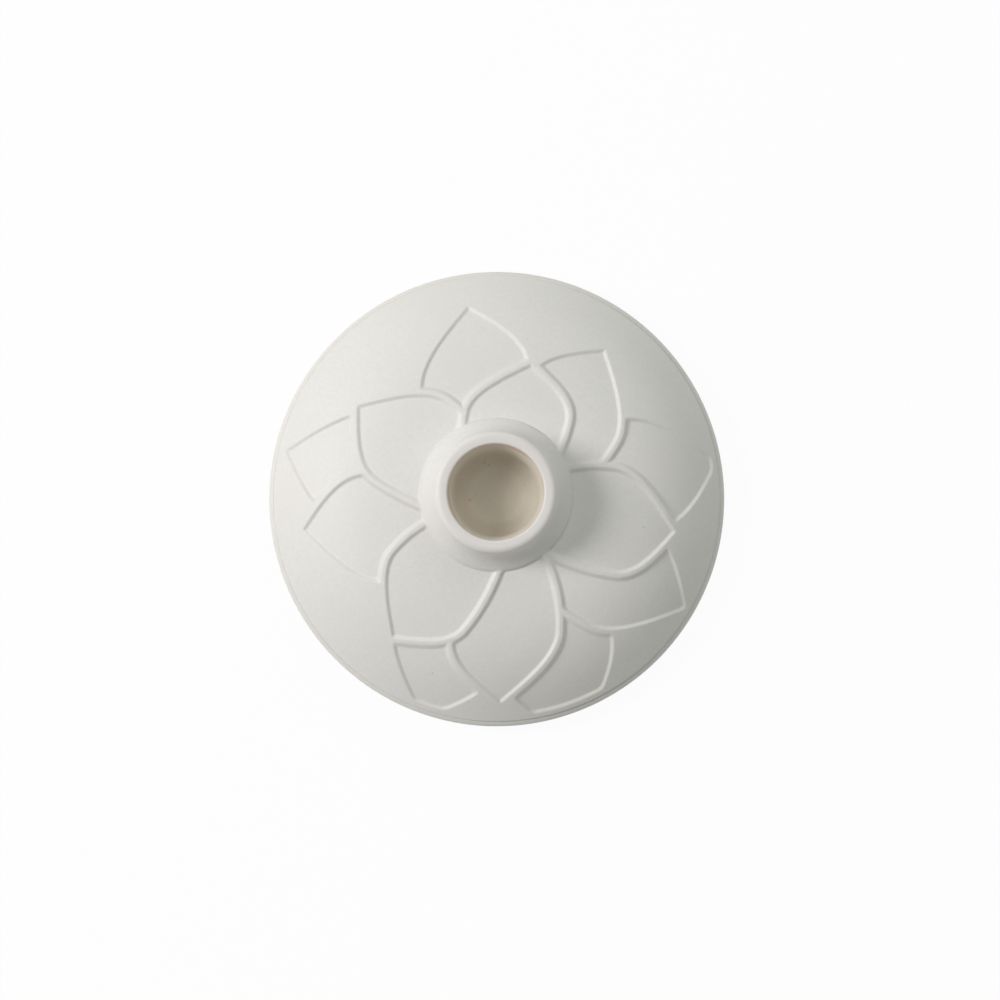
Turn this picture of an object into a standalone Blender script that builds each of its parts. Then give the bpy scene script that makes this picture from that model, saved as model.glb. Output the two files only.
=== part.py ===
"""A low, round porcelain candlestick, piece by piece.

A domed shell with a flared candle collar sits on the seat of a base dish. A socket cup is
luted into the collar from below. Felt pads carry the dish.
Lengths are in metres and +Z is up. The origin lies on the turning axis, at table height.
"""

import math

import bpy

# Joints
JOINT_GAP = 0.0003          # film of slip or glue between two pieces

# Felt pads
PAD_COUNT = 4
PAD_RADIUS = 0.0050
PAD_THICKNESS = 0.0012
PAD_EDGE_ROUND = 0.0002
PAD_INSET = 0.0085          # edge of the flat foot to a pad's centre
PAD_TURN = math.radians(45)

# Base dish
BASE_RADIUS = 0.05585       # widest point: the rounded ledge that shows all round the dome
BASE_HEIGHT = 0.0056        # underside to the seat that carries the dome
BASE_FLOOR = 0.0037         # thickness over the foot
LEDGE_WIDTH = 0.00105       # how far the dish shows past the dome
LEDGE_DROP = 0.0017         # seat down to the widest point
LEDGE_LEAN = math.radians(50)   # where on its oval the ledge starts: 90 is level, less leans outwards
UNDERCUT = 0.00985          # how far the foot draws in from the widest point
RECESS_RADIUS = 0.0240      # shallow hollow in the middle of the underside
RECESS_DEPTH = 0.0012
RECESS_DRAFT = 0.0006
SPIGOT_REACH = 0.0020       # how far the ring that centres the dome follows its inside
SPIGOT_WIDTH = 0.0030
VENT_RADIUS = 0.0020        # lets the closed hollow breathe in the kiln
VENT_OFFSET = 0.0120        # turning axis to the vent's centre

# Domed shell
DOME_RISE = 0.0142          # lower edge to the crown that the curve reaches on the axis
DOME_POWER = 4.2            # 2 is a parabola, more is flatter on top and steeper at the edge
DOME_MARGIN = 0.0038        # straight band at the edge
DOME_WALL = 0.0034          # thickness at the crown
DOME_SEAT_WIDTH = 0.0050    # flat ring that rests on the dish

# Candle collar, one piece with the shell
COLLAR_HEIGHT = 0.0114      # crown to the top of the lip
LIP_RADIUS = 0.0145         # outside of the lip
LIP_OUTER_ROUND = 0.0015    # width of the soft shoulder at its outer edge
LIP_OUTER_DROP = 0.0011     # height of that shoulder
LIP_INNER_ROUND = 0.0005
FLARE_RADIUS = 0.0183       # where the collar's sweep meets the dome
NECK_PULL = 0.0070          # how far the sweep stays upright under the lip
FOOT_PULL = 0.0025          # how far the sweep runs straight at its foot
FOOT_LEAN = math.radians(45)    # slope of the sweep where it meets the dome

# Candle socket
MOUTH_RADIUS = 0.0115       # takes a standard 22 mm candle
SOCKET_DEPTH = 0.0145       # lip down to the floor
BORE_DRAFT = 0.145          # loss of radius for each unit of depth
CUP_FILLET = 0.0050         # inside, between wall and floor
CUP_STRAIGHT = 0.0012       # straight wall over the fillet, up to the cup's rim
CUP_WALL = 0.0026
CUP_FLOOR = 0.0029
CUP_CHAMFER = 0.0008        # outside, at the foot

# Fineness of the facets
TURN_STEPS = 60
DOME_STEPS = 12
FLARE_STEPS = 9
ROUND_STEPS = 4
PAD_SIDES = 24
VENT_SIDES = 20
AXIS_MERGE = 0.00001
CUT_MARGIN = 0.0010         # how far a cutter runs past the surface that it cuts

# Levels, from the table up
base_underside = PAD_THICKNESS + JOINT_GAP
base_seat = base_underside + BASE_HEIGHT
base_inside = base_underside + BASE_FLOOR
dome_edge = base_seat + JOINT_GAP
lip_top = dome_edge + DOME_RISE + COLLAR_HEIGHT
cup_inside = lip_top - SOCKET_DEPTH
cup_bottom = cup_inside - CUP_FLOOR
cup_top = cup_inside + CUP_FILLET + CUP_STRAIGHT
cup_joint = cup_top + JOINT_GAP


def bore_radius(height):
    """The socket's radius at a height: it narrows from the mouth to the floor."""
    return MOUTH_RADIUS - BORE_DRAFT * (lip_top - height)


# Radii that follow from the sizes above
dome_radius = BASE_RADIUS - LEDGE_WIDTH
foot_radius = BASE_RADIUS - UNDERCUT
hollow_radius = dome_radius - DOME_SEAT_WIDTH
hollow_rise = DOME_RISE - DOME_WALL
cup_radius = bore_radius(cup_joint) + CUP_WALL
cup_hole_radius = cup_radius + JOINT_GAP
pad_circle_radius = foot_radius - PAD_INSET


# Points of turned outlines, each a radius and a height

def arc(centre, radius_out, radius_up, start, end, steps=ROUND_STEPS):
    """Points of an ellipse's arc between two angles in degrees, counted from outwards to upwards."""
    points = []
    for i in range(steps + 1):
        angle = math.radians(start + (end - start) * i / steps)
        points.append((centre[0] + radius_out * math.cos(angle), centre[1] + radius_up * math.sin(angle)))
    return points


def sweep(start, start_handle, end_handle, end, steps):
    """Points of a cubic curve with the given handles."""
    points = []
    for i in range(steps + 1):
        t = i / steps
        weights = ((1 - t) ** 3, 3 * t * (1 - t) ** 2, 3 * t * t * (1 - t), t ** 3)
        corners = (start, start_handle, end_handle, end)
        points.append(tuple(sum(w * c[k] for w, c in zip(weights, corners)) for k in range(2)))
    return points


def dome_fall(edge_radius, radius):
    """How far a dome has come down at a radius: a power curve that runs straight in its margin."""
    bend = edge_radius - DOME_MARGIN
    straight = max(radius - bend, 0)
    return ((radius - straight) / bend) ** DOME_POWER + straight / bend * DOME_POWER


def on_dome(edge_radius, rise, radius):
    """The point of a dome's curve at a radius."""
    fallen = dome_fall(edge_radius, radius) / dome_fall(edge_radius, edge_radius)
    return radius, dome_edge + rise * (1 - fallen)


def crown_curve(edge_radius, rise, top_radius):
    """Points along a dome's curve from a radius near its top out to its edge."""
    bend = edge_radius - DOME_MARGIN
    radii = [top_radius + (bend - top_radius) * i / DOME_STEPS for i in range(DOME_STEPS + 1)]
    return [on_dome(edge_radius, rise, r) for r in radii + [edge_radius]]


def dome_outline():
    lip = arc((MOUTH_RADIUS + LIP_INNER_ROUND, lip_top - LIP_INNER_ROUND),
              LIP_INNER_ROUND, LIP_INNER_ROUND, 180, 90)
    lip += arc((LIP_RADIUS - LIP_OUTER_ROUND, lip_top - LIP_OUTER_DROP),
               LIP_OUTER_ROUND, LIP_OUTER_DROP, 90, 0)

    outside = crown_curve(dome_radius, DOME_RISE, FLARE_RADIUS)
    foot = outside[0]
    neck = lip[-1]
    neck_handle = (neck[0], neck[1] - NECK_PULL)
    foot_handle = (foot[0] - FOOT_PULL * math.cos(FOOT_LEAN), foot[1] + FOOT_PULL * math.sin(FOOT_LEAN))
    flare = sweep(neck, neck_handle, foot_handle, foot, FLARE_STEPS)

    hollow = crown_curve(hollow_radius, hollow_rise, cup_hole_radius)
    cup_hole = [(cup_hole_radius, cup_joint), (bore_radius(cup_joint), cup_joint)]
    return lip + flare[1:] + outside[1:] + hollow[::-1] + cup_hole


def candle_cup_outline():
    fillet_top = cup_inside + CUP_FILLET
    fillet = arc((bore_radius(fillet_top) - CUP_FILLET, fillet_top), CUP_FILLET, CUP_FILLET, -90, 0)
    rim = [(bore_radius(cup_top), cup_top), (cup_radius, cup_top)]
    foot = [(cup_radius, cup_bottom + CUP_CHAMFER), (cup_radius - CUP_CHAMFER, cup_bottom)]
    return [(0, cup_inside)] + fillet + rim + foot + [(0, cup_bottom)]


def base_dish_outline():
    reach = (hollow_radius - SPIGOT_REACH, hollow_radius)
    under_dome = [on_dome(hollow_radius, hollow_rise, radius) for radius in reach]
    spigot_face = [(r - JOINT_GAP, z - JOINT_GAP) for r, z in under_dome]
    inner_wall = spigot_face[0][0] - SPIGOT_WIDTH
    spigot = [(0, base_inside), (inner_wall, base_inside), (inner_wall, spigot_face[0][1])] + spigot_face

    widest = base_seat - LEDGE_DROP
    oval_out = LEDGE_WIDTH / (1 - math.cos(LEDGE_LEAN))
    oval_up = LEDGE_DROP / math.sin(LEDGE_LEAN)
    ledge = arc((BASE_RADIUS - oval_out, widest), oval_out, oval_up, math.degrees(LEDGE_LEAN), 0)
    upright = (BASE_RADIUS, (widest + base_underside) / 2)
    belly = sweep(ledge[-1], upright, ((BASE_RADIUS + foot_radius) / 2, base_underside),
                  (foot_radius, base_underside), FLARE_STEPS)

    recess_top = base_underside + RECESS_DEPTH
    recess = [(RECESS_RADIUS, base_underside), (RECESS_RADIUS - RECESS_DRAFT, recess_top), (0, recess_top)]
    return spigot + ledge + belly[1:] + recess


# Objects

def collection(name):
    made = bpy.data.collections.new(name)
    bpy.context.scene.collection.children.link(made)
    return made


def finish_of(name, colour, roughness):
    """A plain material of one colour."""
    material = bpy.data.materials.new(name)
    material.use_nodes = True
    shader = material.node_tree.nodes["Principled BSDF"]
    shader.inputs["Base Color"].default_value = (*colour, 1)
    shader.inputs["Roughness"].default_value = roughness
    shader.inputs["Metallic"].default_value = 0
    return material


def turned(name, outline, closed, material, parts, parent):
    """A solid turned from an outline: closed for a ring, or open with both ends on the axis."""
    count = len(outline)
    edges = [(i, (i + 1) % count) for i in range(count if closed else count - 1)]
    mesh = bpy.data.meshes.new(name)
    mesh.from_pydata([(r, 0, z) for r, z in outline], edges, [])
    mesh.materials.append(material)
    piece = bpy.data.objects.new(name, mesh)
    parts.objects.link(piece)
    piece.parent = parent
    screw = piece.modifiers.new("Turned", "SCREW")
    screw.steps = TURN_STEPS
    screw.render_steps = TURN_STEPS
    screw.use_merge_vertices = True
    screw.merge_threshold = AXIS_MERGE
    return piece


def cylinder(name, radius, height, centre, sides, home):
    """An upright cylinder, moved into the collection that it belongs to."""
    bpy.ops.mesh.primitive_cylinder_add(vertices=sides, radius=radius, depth=height, location=centre)
    piece = bpy.context.object
    piece.name = name
    piece.data.name = name
    for old in list(piece.users_collection):
        old.objects.unlink(piece)
    home.objects.link(piece)
    return piece


def cut_vent(dish, cutters):
    """A small round hole through the dish's floor, inside the recess."""
    bottom = base_underside - CUT_MARGIN
    top = base_inside + CUT_MARGIN
    drill = cylinder("vent_drill", VENT_RADIUS, top - bottom,
                     (0, VENT_OFFSET, (top + bottom) / 2), VENT_SIDES, cutters)
    drill.hide_render = True
    drill.display_type = "WIRE"
    cut = dish.modifiers.new("Vent", "BOOLEAN")
    cut.operation = "DIFFERENCE"
    cut.object = drill


def add_felt_pads(material, parts, parent):
    for i in range(PAD_COUNT):
        angle = PAD_TURN + 2 * math.pi * i / PAD_COUNT
        centre = (pad_circle_radius * math.cos(angle), pad_circle_radius * math.sin(angle), PAD_THICKNESS / 2)
        pad = cylinder(f"felt_pad_{i + 1}", PAD_RADIUS, PAD_THICKNESS, centre, PAD_SIDES, parts)
        pad.data.materials.append(material)
        pad.parent = parent
        bevel = pad.modifiers.new("Rounded edge", "BEVEL")
        bevel.width = PAD_EDGE_ROUND
        bevel.segments = 1
        pad.data.shade_smooth()
        pad.data.set_sharp_from_angle(angle=math.radians(30))


def build():
    for old in list(bpy.data.objects):
        bpy.data.objects.remove(old)
    parts = collection("candlestick")
    cutters = collection("cutters")
    stand = bpy.data.objects.new("table_centre", None)
    parts.objects.link(stand)

    bisque = finish_of("bisque_porcelain", (0.80, 0.785, 0.755), 0.62)
    lining = finish_of("socket_lining", (0.63, 0.575, 0.49), 0.55)
    felt = finish_of("felt", (0.36, 0.34, 0.31), 0.95)

    turned("dome", dome_outline(), True, bisque, parts, stand)
    turned("candle_cup", candle_cup_outline(), False, lining, parts, stand)
    dish = turned("base_dish", base_dish_outline(), False, bisque, parts, stand)
    cut_vent(dish, cutters)
    add_felt_pads(felt, parts, stand)


build()
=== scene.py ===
"""Fine meshes, finishes, studio light and camera for a low porcelain candlestick.

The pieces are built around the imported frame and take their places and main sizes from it.
Lengths are in metres, +Z is up, and the turning axis is the Z axis.
"""

import math

import bmesh
import bpy
import numpy as np
from bpy.props import FloatProperty, FloatVectorProperty, IntProperty, PointerProperty
from mathutils import Euler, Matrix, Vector, noise
from mathutils.geometry import delaunay_2d_cdt


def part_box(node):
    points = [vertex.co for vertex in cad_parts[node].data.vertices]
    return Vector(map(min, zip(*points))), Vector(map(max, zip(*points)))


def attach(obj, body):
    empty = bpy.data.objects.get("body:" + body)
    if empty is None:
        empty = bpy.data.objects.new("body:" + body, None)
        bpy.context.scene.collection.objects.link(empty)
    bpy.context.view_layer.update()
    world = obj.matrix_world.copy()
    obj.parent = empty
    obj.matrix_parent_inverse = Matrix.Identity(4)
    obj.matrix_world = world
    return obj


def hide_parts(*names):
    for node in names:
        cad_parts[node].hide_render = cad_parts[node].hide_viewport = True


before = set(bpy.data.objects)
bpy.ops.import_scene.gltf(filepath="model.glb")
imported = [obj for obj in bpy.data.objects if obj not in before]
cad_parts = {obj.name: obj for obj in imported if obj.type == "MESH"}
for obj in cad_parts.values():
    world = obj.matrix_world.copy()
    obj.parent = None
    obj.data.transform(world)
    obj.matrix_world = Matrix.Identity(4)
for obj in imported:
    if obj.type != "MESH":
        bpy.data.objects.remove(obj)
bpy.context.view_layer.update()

bl_info = {
    "name": "Porcelain Candlestick",
    "version": (1, 0, 0),
    "blender": (4, 5, 0),
    "location": "View3D > Sidebar > Candlestick",
    "description": "Makes a low porcelain candlestick with a sunk leaf relief, and a studio around it",
    "category": "Add Mesh",
}

BODY = "root"
# Name of the layer that holds how much painted shade each point of the relief gets
PAINTED_SHADE_LAYER = "painted_shade"
PAD_NODES = sorted(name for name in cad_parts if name.startswith("felt_pad"))

# Levels and radii that the frame gives
DOME_LOW, DOME_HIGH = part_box("dome")
CUP_LOW, CUP_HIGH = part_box("candle_cup")
DISH_LOW, DISH_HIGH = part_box("base_dish")
LIP_TOP = DOME_HIGH.z
DOME_EDGE = DOME_LOW.z
DOME_RADIUS = DOME_HIGH.x
CUP_TOP = CUP_HIGH.z
CUP_BOTTOM = CUP_LOW.z
CUP_RADIUS = CUP_HIGH.x
DISH_RADIUS = DISH_HIGH.x
DISH_UNDERSIDE = DISH_LOW.z

# Fineness of the meshes
SIDES = 288
PAD_SIDES = 72
VENT_SIDES = 48
FLOOR_SIDES = 96
FLARE_STEPS = 40
FLARE_SAMPLES = 400
GRID_STEP = 0.00025
LINE_STEP = 0.00040
FILL_STEP = 0.00105
FEWEST_POINTS = 6
MILLIMETRE = 0.001
PLAN_WELD_MM = 0.0001
WELD = 0.000001
SHARP_EDGE = math.radians(40)

# Lines along a slope of the relief, as shares of its width from crest to floor
SLOPE_LINES = (-0.12, 0, 0.15, 0.3, 0.5, 0.7, 0.85, 1, 1.12)

# Turn from one leaf or scattered point to the next
GOLDEN_ANGLE = math.pi * (3 - math.sqrt(5))

# Fuzz of the felt: waves per metre, share of the radius that is pulled in, and lift of the underside
FUZZ_SCALE = 2600
FUZZ_PULL = 0.018
FUZZ_LIFT = 0.00004

# Noise in the finishes, in waves per metre
BODY_MOTTLE_SCALE = 1100
BODY_CLOUD_SCALE = 55
WASH_MOTTLE_SCALE = 1500
WASH_CLOUD_SCALE = 160
WASH_EDGE_SCALE = 420
FRINGE_BREAK_SCALE = 130
FELT_FIBRE_SCALE = 5200
FELT_TUFT_SCALE = 900

# Stretch of a noise over which a tone comes in
BODY_CLOUD_RANGE = (0.40, 0.75)
FRINGE_BREAK_RANGE = (0.42, 0.62)
FELT_RANGE = (0.35, 0.65)

# Roughness: its least, its spread, and the waves per metre of its noise
BODY_ROUGHNESS = (0.50, 0.10, 700)
WASH_ROUGHNESS = (0.46, 0.20, 500)

# Grain in a surface: waves per metre, strength, and height in metres
BODY_GRAIN = (2600, 0.10, 0.00006)
WASH_GRAIN = (1800, 0.12, 0.00008)
FELT_GRAIN = (4200, 0.80, 0.00015)

# Iron flecks: cells per metre and radius in metres, and the share of the radius that is fully dark
BODY_FLECKS = (110, 0.00020)
WASH_FLECKS = (210, 0.00026)
FLECK_CORE = 0.5

# Where a tone starts and where it is full, in metres from the line that it follows
SPECK_EDGE = (0.00065, 0.00025)
# Painted shade round the socket's floor
CORNER_SHADE_FOOT = (0, 0.0006)
CORNER_SHADE_TOP = (0.0050, 0.0010)
WASH_EDGE = (0.00025, -0.00010)
WASH_END = (0, 0.0002)
FRINGE_INNER = (-0.00050, -0.00030)
FRINGE_OUTER = (0.00002, -0.00012)
# Painted shade in the joint under the dome
JOINT_SHADE_EDGE = (0.0003, -0.0001)

# Height over the socket's floor at which the wash starts to run thin and the painted glow starts
THIN_WASH_START = 0.0035

# Width of the band in which a ragged edge wanders
SPECK_RAGGED = 0.0006
WASH_RAGGED = 0.0001

# How strongly a tone covers what is under it
FLECK_TONE = 0.6
SPECK_TONE = 0.6
# Painted warm shade on the relief's slopes
PAINTED_SHADE_TONE = 0.05
LIP_TONE = 0.8
# Partly painted glow at the mouth's fringe
FRINGE_AND_GLOW_TONE = 0.55
# Painted shade in the joint under the dome
JOINT_SHADE_TONE = 0.12
WARM_TONE = 0.5
BASE_WARMTH = 0.8

# The body's mottle as shares of its colour, and the wash's least share with what its noises add
MOTTLE_DARK = 0.94
MOTTLE_LIGHT = 1.055
WASH_LEAST = 0.89
WASH_CLOUD_SPREAD = 0.10
WASH_MOTTLE_SPREAD = 0.12

# The fringe at the mouth, partly a reddish line in the wash and partly painted glow of light through the
# thin lip: its direction, the stretch over which it grows, and its share elsewhere
FRINGE_SIDE = math.radians(35)
FRINGE_SIDE_RANGE = (0.2, 0.8)
FRINGE_FAINT = 0.2

# The felt: share of the fibres in its tone, least and spread of its roughness, and sheen
FIBRE_SHARE = 0.6
FELT_ROUGHNESS = (0.88, 0.10)
FELT_SHEEN = 0.4
FELT_SHEEN_ROUGHNESS = 0.5

# The studio floor, and plain white
FLOOR_RADIUS = 4
WHITE = (1, 1, 1, 1)

# Sockets of the Mix node when it mixes colours
MIX_FACTOR = 0
MIX_FIRST = 6
MIX_SECOND = 7
MIX_RESULT = 2


# Settings that a user can change

def length(name, default, description):
    return FloatProperty(name=name, description=description, default=default, min=0, unit="LENGTH",
                         precision=5)


def plan_place(name, default, description):
    return FloatVectorProperty(name=name, description=description, default=default, size=2, unit="LENGTH",
                               precision=5)


def share(name, default, description):
    return FloatProperty(name=name, description=description, default=default, subtype="FACTOR", min=0, max=1)


def angle(name, degrees, description):
    return FloatProperty(name=name, description=description, default=math.radians(degrees), subtype="ANGLE")


def power(name, default, description):
    return FloatProperty(name=name, description=description, default=default, min=0, unit="POWER")


def colour(name, default, description):
    return FloatVectorProperty(name=name, description=description, default=default, size=3, min=0, max=1,
                               subtype="COLOR")


class CandlestickShape(bpy.types.PropertyGroup):
    """Sizes of the turned pieces that the frame's boxes don't give."""

    joint_gap: length("Joint gap", 0.0003, "Film of slip or glue between two pieces")
    cup_joint: length("Cup joint", 0.00003, "The part of the film over the cup that its wash leaves open")
    dome_rise: length("Dome rise", 0.0142, "Lower edge to the crown that the curve reaches on the axis")
    dome_power: FloatProperty(name="Dome power", description="2 is a parabola, more is flatter on top",
                              default=4.2, min=1)
    dome_margin: length("Dome margin", 0.0038, "Straight band at the dome's edge")
    dome_wall: length("Dome wall", 0.0034, "Thickness at the crown")
    dome_seat: length("Dome seat", 0.0050, "Width of the flat ring that rests on the dish")
    edge_round: length("Edge rounding", 0.00013, "Rounding of the dome's lower edge")
    lip_radius: length("Lip radius", 0.0145, "Outside of the collar's lip")
    lip_outer_round: length("Lip shoulder width", 0.0015, "Width of the soft shoulder outside the lip")
    lip_outer_drop: length("Lip shoulder height", 0.0011, "Height of that shoulder")
    lip_inner_round: length("Lip inner rounding", 0.0005, "Rounding of the mouth's edge")
    flare_radius: length("Flare radius", 0.0183, "Where the collar's sweep meets the dome")
    neck_pull: length("Neck pull", 0.0070, "How far the sweep stays upright under the lip")
    foot_pull: length("Foot pull", 0.0025, "How far the sweep runs straight at its foot")
    foot_lean: angle("Foot lean", 45, "Slope of the sweep where it meets the dome")
    mouth_radius: length("Mouth radius", 0.0115, "Radius of the candle socket at the lip")
    bore_draft: FloatProperty(name="Bore draft", description="Loss of radius for each unit of depth",
                              default=0.145)
    cup_floor: length("Cup floor", 0.0029, "Thickness of the socket's floor")
    cup_fillet: length("Cup fillet", 0.0050, "Rounding between the socket's wall and floor")
    cup_chamfer: length("Cup chamfer", 0.0008, "Chamfer at the cup's foot")
    dish_floor: length("Dish floor", 0.0037, "Thickness of the dish over its foot")
    ledge_drop: length("Ledge drop", 0.0017, "Seat down to the widest point")
    ledge_lean: angle("Ledge lean", 50, "Where on its oval the ledge starts: 90 is level, less leans out")
    undercut: length("Undercut", 0.00985, "How far the foot draws in from the widest point")
    recess_radius: length("Recess radius", 0.0240, "Hollow in the middle of the underside")
    recess_depth: length("Recess depth", 0.0012, "Depth of that hollow")
    recess_draft: length("Recess draft", 0.0006, "How far the hollow's wall leans")
    spigot_reach: length("Spigot reach", 0.0020, "How far the ring that centres the dome follows its inside")
    spigot_width: length("Spigot width", 0.0030, "Width of that ring")
    vent_radius: length("Vent radius", 0.0020, "Hole that lets the closed hollow breathe in the kiln")
    vent_flare: length("Vent countersink", 0.0005, "Width and depth of the vent's countersink")
    vent_offset: length("Vent offset", 0.0120, "Turning axis to the vent's centre")
    pad_round: length("Pad rounding", 0.00025, "Rounding of the felt pads' edges")


class LeafRelief(bpy.types.PropertyGroup):
    """The rosette of sunk leaves on the dome."""

    count: IntProperty(name="Leaves", description="Number of leaves, from the top one down", default=13,
                       min=2)
    centre: plan_place("Centre", (0.0015, -0.0045), "Where the leaves' stalks meet, seen from above")
    first_turn: angle("First leaf", 85, "Direction of the top leaf")
    short_length: length("Shortest leaf", 0.037, "Length of the top leaf")
    long_length: length("Longest leaf", 0.057, "Length of the lowest leaf")
    narrow: length("Narrowest leaf", 0.0125, "Half the width of the top leaf")
    wide: length("Widest leaf", 0.0145, "Half the width of the lowest leaf")
    growth: FloatProperty(name="Growth", description="Below 1, leaves lengthen early", default=0.75, min=0.1)
    widest: share("Widest point", 0.64, "Where along a leaf it is widest")
    stalk: share("Stalk width", 0.25, "Width at the stalk as a share of the full width")
    tip_draw: share("Drawn tip", 0.22, "How far the tip is drawn in to a point")
    bend: share("Bend", 0.10, "Sideways bend of a leaf at its tip, as a share of its length")
    rib: length("Rib", 0.0006, "Width of the crest that is left between two leaves")
    wall: length("Wall", 0.0012, "Width of the rounded slope from a rib's crest to a leaf's floor")
    depth: length("Depth", 0.00068, "How deep the leaves are sunk")
    corner: length("Corner", 0.0007, "Rounding where outlines meet")
    # The darker tone on the slopes is painted shade
    painted_shade: length("Crease", 0.00040, "Reach of the darker tone on either side of a slope's middle")
    collar_foot: length("Collar foot", 0.01815, "Radius at which the leaves stop at the collar")
    collar_wall: length("Collar wall", 0.0006, "Width of the steeper slope round the collar's foot")
    margin: length("Margin", 0.0011, "Plain band left inside the dome's edge")


class CandlestickFinish(bpy.types.PropertyGroup):
    """Colours of the finishes."""

    porcelain: colour("Porcelain", (0.792, 0.769, 0.748), "Matte unglazed porcelain")
    porcelain_warm: colour("Warm porcelain", (0.780, 0.746, 0.705), "Clouds of a warmer tone in it")
    lip: colour("Lip", (0.815, 0.768, 0.748), "Faint pink tone of the body on the lip")
    fleck: colour("Fleck", (0.22, 0.17, 0.13), "Tiny iron flecks in the body and the wash")
    # Painted shade: warm on the relief's slopes, darker in the joint under the dome
    painted_shade: colour("Crease", (0.52, 0.39, 0.28), "Brownish tone on the relief's slopes and in the joint")
    lining: colour("Lining", (0.63, 0.577, 0.497), "Beige wash on the floor of the candle socket")
    # Paler where the wash runs thin, and paler still as painted glow of light through the thin lip
    thin_lining_and_glow: colour("Thin lining", (0.86, 0.795, 0.715), "The wash where it runs thin towards the mouth")
    # Painted shade in the corner round the socket's floor
    corner_shade: colour("Pooled lining", (0.585, 0.53, 0.45), "The wash where it pools round the socket's floor")
    # Partly a reddish line in the wash, partly painted glow of light through the thin lip
    fringe_and_glow: colour("Fringe", (0.56, 0.37, 0.26), "Broken reddish line where the wash gathers at the mouth")
    blush: colour("Blush", (0.62, 0.33, 0.27), "Pinkish specks in the wash")
    left_speck: plan_place("Left speck", (-0.0064, -0.0011), "Place of a pinkish speck, seen from above")
    back_speck: plan_place("Back speck", (-0.0028, 0.0078), "Place of another one, seen from above")
    felt: colour("Felt", (0.36, 0.34, 0.31), "Felt pads")
    felt_dark: colour("Dark felt", (0.22, 0.21, 0.19), "Darker fibres of the felt")
    floor: colour("Floor", (0.92, 0.92, 0.92), "Studio floor")


class CandlestickStudio(bpy.types.PropertyGroup):
    """Camera and light."""

    camera_distance: length("Camera distance", 0.80, "Camera to the point that it aims at")
    lens: FloatProperty(name="Lens", description="Focal length", default=117.3, unit="CAMERA")
    tilt_forward: angle("Tilt forward", 3.06, "Lean of the view off the vertical, to the back")
    tilt_side: angle("Tilt sideways", 0.33, "Lean of the view off the vertical, to the left")
    aim: FloatVectorProperty(name="Aim", description="Point in the middle of the picture",
                             default=(0.00082, -0.00041, 0.0054), size=3, unit="LENGTH", precision=5)
    lamp_distance: length("Lamp distance", 1.20, "Either lamp to the object")
    key_direction: angle("Key direction", 170, "Where the key light stands, counted from +X towards +Y")
    key_height: angle("Key height", 40.5, "Elevation of the key light")
    key_size: length("Key size", 0.50, "Diameter of the key light")
    key_power: power("Key power", 9.1, "Power of the key light")
    key_tint: colour("Key tint", (1.0, 0.995, 0.985), "Colour of the key light")
    fill_direction: angle("Fill direction", 58, "Where the fill light stands, counted from +X towards +Y")
    fill_height: angle("Fill height", 48, "Elevation of the fill light")
    fill_size: length("Fill size", 1.40, "Diameter of the fill light")
    fill_power: power("Fill power", 4.0, "Power of the fill light")
    round_light: FloatProperty(name="Light all round", description="Strength of the even light around",
                               default=0.24, min=0)
    round_tint: colour("Tint all round", (0.96, 1.0, 0.96), "Colour of the even light and of the fill light")
    floor_white: share("Floor white", 0.95, "How far the floor reads as plain white to the camera")


# Points of turned outlines, each a radius and a height

def arc(centre, radius_out, radius_up, start, end, steps):
    """Points of an ellipse's arc between two angles in degrees, counted from outwards to upwards."""
    points = []
    for i in range(steps + 1):
        turn = math.radians(start + (end - start) * i / steps)
        points.append((centre[0] + radius_out * math.cos(turn), centre[1] + radius_up * math.sin(turn)))
    return points


def sweep(start, start_handle, end_handle, end, steps):
    """Points of a cubic curve with the given handles."""
    points = []
    for i in range(steps + 1):
        t = i / steps
        weights = ((1 - t) ** 3, 3 * t * (1 - t) ** 2, 3 * t * t * (1 - t), t ** 3)
        corners = (start, start_handle, end_handle, end)
        points.append(tuple(sum(w * c[k] for w, c in zip(weights, corners)) for k in range(2)))
    return points


def straight(start, end, steps):
    """Evenly spaced points from start to end."""
    return [tuple(a + (b - a) * i / steps for a, b in zip(start, end)) for i in range(steps + 1)]


def bore_radius(shape, height):
    """The socket's radius at a height: it narrows from the mouth to the floor."""
    return shape.mouth_radius - shape.bore_draft * (LIP_TOP - height)


def dome_fall(shape, edge, radius):
    """How far a dome has come down at a radius: a power curve that runs straight in its margin."""
    bend = edge - shape.dome_margin
    past_bend = np.maximum(radius - bend, 0)
    return ((radius - past_bend) / bend) ** shape.dome_power + past_bend / bend * shape.dome_power


def crown(shape, radius):
    """Height of the dome's outside at a radius, without the collar."""
    fallen = dome_fall(shape, DOME_RADIUS, radius) / dome_fall(shape, DOME_RADIUS, DOME_RADIUS)
    return DOME_EDGE + shape.dome_rise * (1 - fallen)


def hollow(shape, radius):
    """Height of the dome's inside at a radius."""
    edge = DOME_RADIUS - shape.dome_seat
    fallen = dome_fall(shape, edge, radius) / dome_fall(shape, edge, edge)
    return DOME_EDGE + (shape.dome_rise - shape.dome_wall) * (1 - fallen)


def lip_outline(shape):
    """The rounded lip, from the mouth's edge over the top to the neck."""
    inner = shape.lip_inner_round
    outer = shape.lip_outer_round
    drop = shape.lip_outer_drop
    points = arc((shape.mouth_radius + inner, LIP_TOP - inner), inner, inner, 180, 90, steps=8)
    points += arc((shape.lip_radius - outer, LIP_TOP - drop), outer, drop, 90, 0, steps=16)
    return points


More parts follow.
